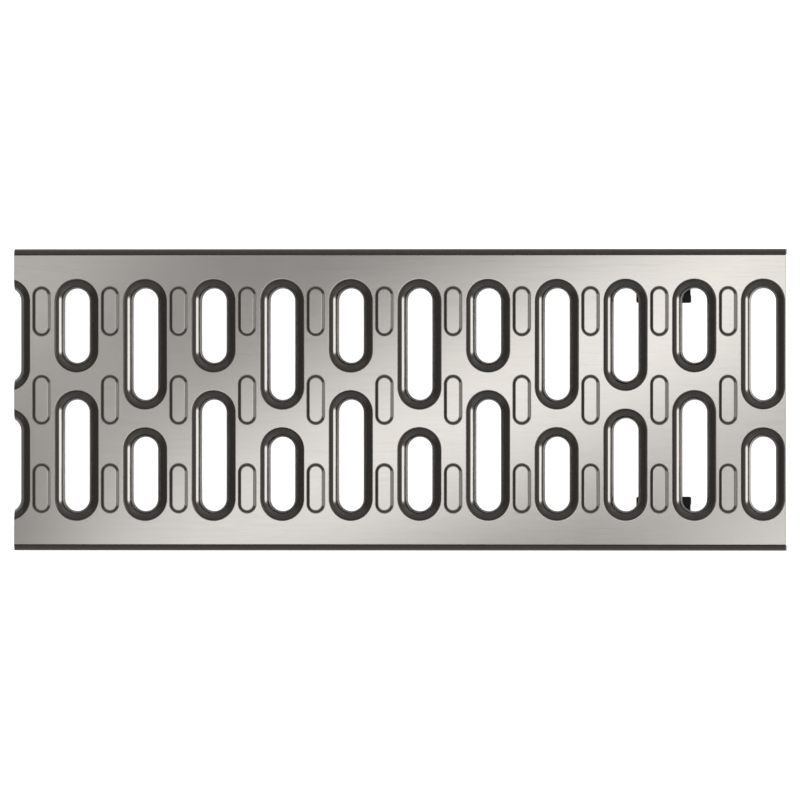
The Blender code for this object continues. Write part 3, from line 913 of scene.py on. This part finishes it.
def make_world():
    """A dim studio above a pale horizon, with lit side walls and a bright patch past the right end."""
    world = bpy.data.worlds.new("studio")
    bpy.context.scene.world = world
    world.use_nodes = True
    tree = world.node_tree
    direction = tree.nodes.new("ShaderNodeTexCoord").outputs["Generated"]
    parts = add_node(tree, "ShaderNodeSeparateXYZ", {0: direction}).outputs
    level = calc(tree, "SQRT", calc(tree, "SUBTRACT", 1.0, calc(tree, "POWER", parts["Z"], 2.0)))
    bearing = calc(tree, "DIVIDE", parts["X"], calc(tree, "MAXIMUM", level, LEAST_LEVEL))

    dim = blend(tree, ramp(tree, parts["X"], *DIM_RUN), *DIM_STUDIO)
    beside = calc(tree, "MULTIPLY", ramp(tree, calc(tree, "ABSOLUTE", bearing), *SIDE_WALL_ENDS),
                  ramp(tree, parts["Z"], *sines(SIDE_WALL_TOP)))
    studio = blend(tree, beside, dim, SIDE_WALL)
    ahead = calc(tree, "MULTIPLY", ramp(tree, bearing, *PATCH_ENDS),
                 ramp(tree, parts["Z"], *sines(PATCH_TOP)))
    studio = blend(tree, ahead, studio, BRIGHT_PATCH)
    colour = blend(tree, ramp(tree, parts["Z"], *sines(PALE_HORIZON)), WHITE, studio)

    path = tree.nodes.new("ShaderNodeLightPath").outputs
    seen = calc(tree, "MAXIMUM", path["Is Camera Ray"], path["Is Transmission Ray"])
    background = tree.nodes["Background"]
    tree.links.new(blend(tree, seen, colour, WHITE), background.inputs["Color"])
    background.inputs["Strength"].default_value = 1.0


def soft_strip(tree, across, centre, half_width, strength):
    """Strength of a soft strip of light: full at its centre, and falling away across it."""
    apart = calc(tree, "DIVIDE", calc(tree, "SUBTRACT", across, centre), half_width)
    fall = calc(tree, "MULTIPLY", calc(tree, "MULTIPLY", apart, apart), -1.0)
    return calc(tree, "MULTIPLY", calc(tree, "EXPONENT", fall), strength)


def panel_material():
    """Graduated softbox: a dim sheet of light with a broad bright band across its diagonal.

    Weaker strips light its lower right, upper left and both ends, and its long edges are shaded.
    """
    material = bpy.data.materials.new("graduated_softbox")
    material.use_nodes = True
    tree = material.node_tree
    place = tree.nodes.new("ShaderNodeTexCoord").outputs["Object"]
    # The metal shows the panel this much smaller, so its places are those of the grate below
    spread = 1.0 / (1.0 + PANEL_HEIGHT / CAMERA_DISTANCE)
    feeds = {"Vector": place, "Scale": (spread, spread, spread)}
    on_sheet = add_node(tree, "ShaderNodeMapping", feeds).outputs[0]
    at = add_node(tree, "ShaderNodeSeparateXYZ", {0: on_sheet}).outputs
    along = calc(tree, "SUBTRACT", at["X"], BAND_CENTRE)
    across = calc(tree, "SUBTRACT", calc(tree, "MULTIPLY", along, math.sin(BAND_TURN)),
                  calc(tree, "MULTIPLY", at["Y"], math.cos(BAND_TURN)))

    band = calc(tree, "MULTIPLY", soft_strip(tree, across, *BAND), ramp(tree, at["X"], *BAND_START))
    corners = calc(tree, "ADD", soft_strip(tree, across, *LOWER_RIGHT),
                   soft_strip(tree, across, *UPPER_LEFT))
    left = calc(tree, "MULTIPLY", ramp(tree, at["Y"], *LEFT_STRIP_FOOT),
                ramp(tree, at["Y"], *LEFT_STRIP_TOP))
    left = calc(tree, "MULTIPLY", soft_strip(tree, at["X"], *LEFT_STRIP), left)
    right = calc(tree, "MULTIPLY", soft_strip(tree, at["X"], *RIGHT_STRIP),
                 ramp(tree, at["Y"], *RIGHT_STRIP_TOP))
    lower = calc(tree, "MULTIPLY", ramp(tree, at["Y"], *LOWER_SHADE_FALL),
                 ramp(tree, at["X"], *LOWER_SHADE_START))
    valley = calc(tree, "ADD", soft_strip(tree, at["X"], *LOWER_SHADE_VALLEY), LOWER_SHADE)
    lower = calc(tree, "MULTIPLY", lower, valley)
    upper = calc(tree, "MULTIPLY", ramp(tree, at["Y"], *UPPER_SHADE_FALL),
                 soft_strip(tree, at["X"], *UPPER_SHADE))

    shade = calc(tree, "ADD", calc(tree, "ADD", lower, upper), 1.0)
    diagonal = calc(tree, "ADD", calc(tree, "ADD", band, corners), PANEL_GLOW)
    ends = calc(tree, "ADD", left, right)
    total = calc(tree, "MULTIPLY_ADD", diagonal, shade, ends)
    light = add_node(tree, "ShaderNodeEmission", {"Color": (*WHITE, 1.0), "Strength": total})
    tree.links.new(light.outputs[0], tree.nodes["Material Output"].inputs["Surface"])
    tree.nodes.remove(tree.nodes["Principled BSDF"])
    return material


def make_panel():
    """The panel hangs where the metal shows it to the camera, and throws no shadow."""
    bm = bmesh.new()
    bmesh.ops.create_grid(bm, x_segments=1, y_segments=1, size=0.5)
    bmesh.ops.scale(bm, verts=bm.verts, vec=(*PANEL_SIZE, 1.0))
    mesh = bpy.data.meshes.new("graduated_softbox")
    bm.to_mesh(mesh)
    bm.free()
    mesh.materials.append(panel_material())
    panel = bpy.data.objects.new("graduated_softbox", mesh)
    panel.location = (-PANEL_HEIGHT * math.tan(CAMERA_LEAN), 0.0, HEIGHT + PANEL_HEIGHT)
    panel.visible_camera = False
    panel.visible_shadow = False
    bpy.context.scene.collection.objects.link(panel)


def make_fill_lamp():
    """A wide softbox above the grate that lights matt surfaces and doesn't show in the metal."""
    data = bpy.data.lights.new("wide_fill", "AREA")
    data.shape = "RECTANGLE"
    data.size = FILL_SIZE
    data.size_y = FILL_SIZE
    data.energy = math.pi * FILL_SIZE * FILL_SIZE * FILL_BRIGHTNESS
    lamp = bpy.data.objects.new("wide_fill", data)
    lamp.location = (0.0, 0.0, FILL_HEIGHT)
    lamp.visible_camera = False
    lamp.visible_glossy = False
    bpy.context.scene.collection.objects.link(lamp)


def make_camera():
    """Camera at the photograph's viewing angle, framed as the photograph is."""
    data = bpy.data.cameras.new("camera")
    data.sensor_width = SENSOR
    data.lens = SENSOR * CAMERA_DISTANCE / FRAME_WIDTH
    data.clip_start = 0.1
    data.clip_end = 2 * CAMERA_DISTANCE
    camera = bpy.data.objects.new("camera", data)
    target = Vector((*FRAME_MIDDLE, HEIGHT))
    away = Vector((math.sin(CAMERA_LEAN), 0.0, math.cos(CAMERA_LEAN)))
    camera.location = target + away * CAMERA_DISTANCE
    camera.rotation_euler = (0.0, CAMERA_LEAN, 0.0)
    bpy.context.scene.collection.objects.link(camera)
    bpy.context.scene.camera = camera


mottling, grain, wear = mottling_group(), grain_group(), edge_wear_group()
steel = satin_steel(mottling, grain, wear)
sheet = pressed_sheet(steel)
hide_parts("grate_sheet")
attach(sheet, "root")

plastic = black_plastic(mottling, grain, wear)
for name in ("lock_clip_front", "lock_clip_rear"):
    clip = eased_clip(name, plastic)
    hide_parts(name)
    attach(clip, "root")

make_floor()
make_world()
make_panel()
make_fill_lamp()
make_camera()
bpy.context.scene.view_settings.view_transform = "Standard"
